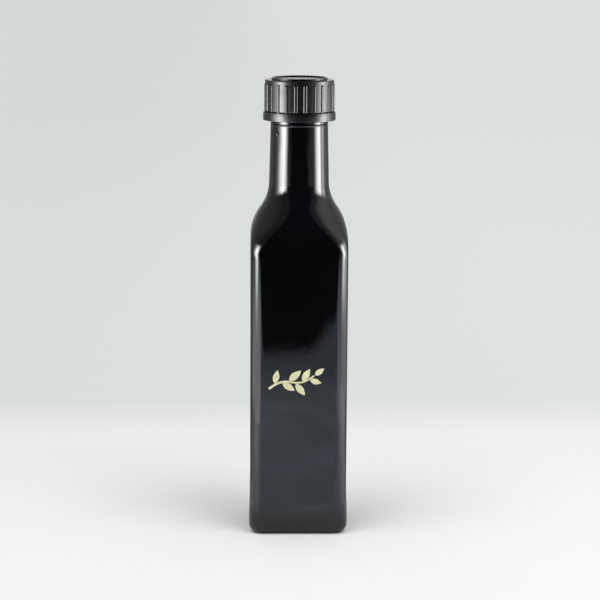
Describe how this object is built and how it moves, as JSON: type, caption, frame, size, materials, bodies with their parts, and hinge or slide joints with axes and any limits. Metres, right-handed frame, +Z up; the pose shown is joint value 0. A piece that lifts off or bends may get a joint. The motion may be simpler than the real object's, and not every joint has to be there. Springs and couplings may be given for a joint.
{
  "type": "square glass storage bottle",
  "caption": "Tall square bottle of near-black glass with a round neck, shut by a ribbed plastic screw cap over an unbroken tamper band.",
  "frame": {"origin": "middle of the base, at the level the bottle stands on", "axes": "+Z up along the bottle's axis, -Y is the front face, +X to the right of someone who looks at the front"},
  "size_m": [0.0474, 0.0474, 0.2177],
  "materials": {
    "dark_glass": "opaque near-black violet glass, glossy, fire-polished",
    "cap_plastic": "black moulded plastic, semi-gloss",
    "gold_foil": "pale gold hot-stamped foil, slightly speckled"
  },
  "bodies": {
    "root": {"glass_bottle": "dark_glass", "screw_cap": "cap_plastic", "tamper_band": "cap_plastic"}
  },
  "joints": []
}
